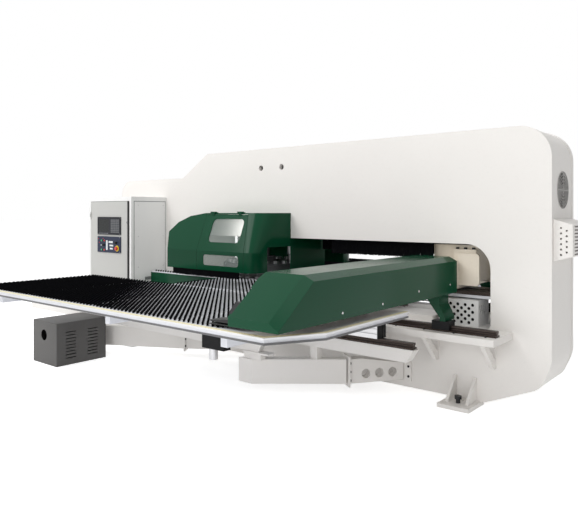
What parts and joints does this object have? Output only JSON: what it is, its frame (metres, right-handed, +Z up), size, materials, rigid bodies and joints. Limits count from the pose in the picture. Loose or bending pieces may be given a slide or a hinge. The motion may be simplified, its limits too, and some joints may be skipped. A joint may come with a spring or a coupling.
{
  "type": "cnc turret punch press",
  "caption": "Bridge-frame CNC turret punch press with brush tables, a sliding clamp beam, guarded tool turret and a control cabinet.",
  "frame": {"origin": "on the floor, at the centre of the four anchor holes", "axes": "+Z up, +X along the bridge frame from the turret to the carriage end, +Y from the control cabinet's side to the far side"},
  "size_m": [6.275, 5.42, 2.3],
  "materials": {
    "frame_paint": "off-white satin paint",
    "plate_paint": "pale grey-white satin paint",
    "green_paint": "dark green gloss paint",
    "cabinet_paint": "pale grey textured paint",
    "unit_paint": "mid grey textured paint",
    "black_paint": "black satin paint",
    "cream_paint": "cream satin paint",
    "tool_steel": "ground tool steel",
    "rail_steel": "oiled hardened steel",
    "bolt_steel": "black oxide steel",
    "turret_iron": "machined cast iron",
    "profile_aluminium": "anodised extrusion",
    "bristle": "black nylon bristle",
    "panel_plastic": "dark moulded panel",
    "operator_blue": "dark blue satin plate",
    "pane": "clear safety glass",
    "fan_plastic": "black moulded fan",
    "button_green": "green gloss button",
    "button_red": "red gloss button",
    "knob_black": "black moulded knob",
    "lock_chrome": "polished lock",
    "valve_black": "dark anodised valve"
  },
  "bodies": {
    "frame": {"near_side_plate": "frame_paint", "far_side_plate": "frame_paint", "outer_wrapper": "frame_paint", "throat_liner": "frame_paint", "foot_plates": "frame_paint", "levelling_screws": "bolt_steel", "fan_grille": "frame_paint", "end_hood": "frame_paint", "shelves": "frame_paint", "linear_rails": "rail_steel", "wing_beams": "frame_paint", "outriggers": "frame_paint", "bolts": "bolt_steel", "centre_tables": "plate_paint", "centre_brushes": "bristle", "green_panels": "green_paint", "bearings": "bolt_steel", "servo_motors": "black_paint", "drive_guard": "plate_paint", "ram_cylinder": "black_paint", "near_turret_cover": "green_paint", "far_turret_cover": "green_paint", "cabinet": "cabinet_paint", "power_unit": "unit_paint"},
    "gantry": {"wing_tables": "plate_paint", "wing_brushes": "bristle", "runners": "profile_aluminium", "guide_blocks": "black_paint", "beam": "cream_paint", "beam_covers": "green_paint", "clamp_rails": "tool_steel", "legs": "green_paint", "valve_block": "valve_black"},
    "clamp_carriage": {"clamp_carriage": "black_paint", "clamp_bodies": "bolt_steel"},
    "near_jaw": {"near_jaw": "tool_steel"},
    "middle_jaw": {"middle_jaw": "tool_steel"},
    "far_jaw": {"far_jaw": "tool_steel"},
    "carriage_screw": {"carriage_screw": "tool_steel"},
    "upper_turret": {"upper_turret": "turret_iron", "punches": "tool_steel"},
    "lower_turret": {"lower_turret": "turret_iron", "dies": "tool_steel"},
    "striking_punch": {"striking_punch": "tool_steel"},
    "striker": {"striker": "tool_steel"},
    "frame_fan": {"frame_fan": "fan_plastic"},
    "power_unit_fan": {"power_unit_fan": "fan_plastic"},
    "cover_door": {"cover_door": "green_paint", "door_window": "pane"},
    "cabinet_door": {"cabinet_door": "cabinet_paint", "screen_panel": "panel_plastic", "operator_panel": "operator_blue"},
    "door_lock": {"door_lock": "lock_chrome"},
    "cycle_start_button": {"cycle_start_button": "button_green"},
    "feed_hold_button": {"feed_hold_button": "button_red"},
    "power_on_button": {"power_on_button": "button_green"},
    "power_off_button": {"power_off_button": "button_red"},
    "feed_knob": {"feed_knob": "knob_black"},
    "mode_knob": {"mode_knob": "knob_black"},
    "stop_button": {"stop_button": "button_red"}
  },
  "joints": [
    {"name": "gantry_slide", "type": "slide", "parent": "frame", "child": "gantry", "axis": [1, 0, 0], "range_m": [-1.25, 0]},
    {"name": "clamp_carriage_slide", "type": "slide", "parent": "gantry", "child": "clamp_carriage", "axis": [0, 1, 0], "range_m": [0, 2.5]},
    {"name": "near_jaw_hinge", "type": "hinge", "parent": "clamp_carriage", "child": "near_jaw", "pos_m": [1.3637, -2.53, 0.971], "axis": [0, 1, 0], "range_deg": [0, 18]},
    {"name": "middle_jaw_hinge", "type": "hinge", "parent": "clamp_carriage", "child": "middle_jaw", "pos_m": [1.3637, -1.25, 0.971], "axis": [0, 1, 0], "range_deg": [0, 18]},
    {"name": "far_jaw_hinge", "type": "hinge", "parent": "clamp_carriage", "child": "far_jaw", "pos_m": [1.3637, 0.03, 0.971], "axis": [0, 1, 0], "range_deg": [0, 18]},
    {"name": "screw_spin", "type": "hinge", "parent": "frame", "child": "carriage_screw", "pos_m": [1.048, 0, 0.765], "axis": [1, 0, 0], "continuous": true},
    {"name": "upper_turret_spin", "type": "hinge", "parent": "frame", "child": "upper_turret", "pos_m": [-0.702, 0, 1], "axis": [0, 0, 1], "continuous": true},
    {"name": "lower_turret_spin", "type": "hinge", "parent": "frame", "child": "lower_turret", "pos_m": [-0.702, 0, 0.85], "axis": [0, 0, 1], "continuous": true},
    {"name": "ram_stroke", "type": "slide", "parent": "frame", "child": "striker", "axis": [0, 0, -1], "range_m": [0, 0.025]},
    {"name": "punch_stroke", "type": "slide", "parent": "upper_turret", "child": "striking_punch", "axis": [0, 0, -1], "range_m": [0, 0.025]},
    {"name": "frame_fan_spin", "type": "hinge", "parent": "frame", "child": "frame_fan", "pos_m": [2.508, 0, 1.79], "axis": [1, 0, 0], "continuous": true},
    {"name": "power_unit_fan_spin", "type": "hinge", "parent": "frame", "child": "power_unit_fan", "pos_m": [-2.163, -1.83, 0.305], "axis": [0, 1, 0], "continuous": true},
    {"name": "cover_door_lift", "type": "hinge", "parent": "frame", "child": "cover_door", "pos_m": [-0.572, -0.722, 1.612], "axis": [-1, 0, 0], "range_deg": [0, 60]},
    {"name": "cabinet_door_hinge", "type": "hinge", "parent": "frame", "child": "cabinet_door", "pos_m": [-2.945, -0.838, 1.1], "axis": [0, 0, -1], "range_deg": [0, 110]},
    {"name": "door_lock_turn", "type": "hinge", "parent": "cabinet_door", "child": "door_lock", "pos_m": [-2.17, -0.835, 1.49], "axis": [0, -1, 0], "range_deg": [0, 90]},
    {"name": "cycle_start_press", "type": "slide", "parent": "cabinet_door", "child": "cycle_start_button", "axis": [0, 1, 0], "range_m": [0, 0.003], "stiffness_N_per_m": 600},
    {"name": "feed_hold_press", "type": "slide", "parent": "cabinet_door", "child": "feed_hold_button", "axis": [0, 1, 0], "range_m": [0, 0.003], "stiffness_N_per_m": 600},
    {"name": "power_on_press", "type": "slide", "parent": "cabinet_door", "child": "power_on_button", "axis": [0, 1, 0], "range_m": [0, 0.003], "stiffness_N_per_m": 600},
    {"name": "power_off_press", "type": "slide", "parent": "cabinet_door", "child": "power_off_button", "axis": [0, 1, 0], "range_m": [0, 0.003], "stiffness_N_per_m": 600},
    {"name": "stop_press", "type": "slide", "parent": "cabinet_door", "child": "stop_button", "axis": [0, 1, 0], "range_m": [0, 0.0035]},
    {"name": "feed_knob_turn", "type": "hinge", "parent": "cabinet_door", "child": "feed_knob", "pos_m": [-2.3795, -0.85, 1.238], "axis": [0, -1, 0], "range_deg": [-135, 135]},
    {"name": "mode_knob_turn", "type": "hinge", "parent": "cabinet_door", "child": "mode_knob", "pos_m": [-2.6415, -0.85, 1.207], "axis": [0, -1, 0], "range_deg": [-60, 60]}
  ],
  "couplings": [
    {"joint": "middle_jaw_hinge", "follows": "near_jaw_hinge", "ratio": 1},
    {"joint": "far_jaw_hinge", "follows": "near_jaw_hinge", "ratio": 1},
    {"joint": "screw_spin", "follows": "gantry_slide", "rad_per_m": 157.08},
    {"joint": "lower_turret_spin", "follows": "upper_turret_spin", "ratio": 1},
    {"joint": "punch_stroke", "follows": "ram_stroke", "ratio": 1}
  ]
}
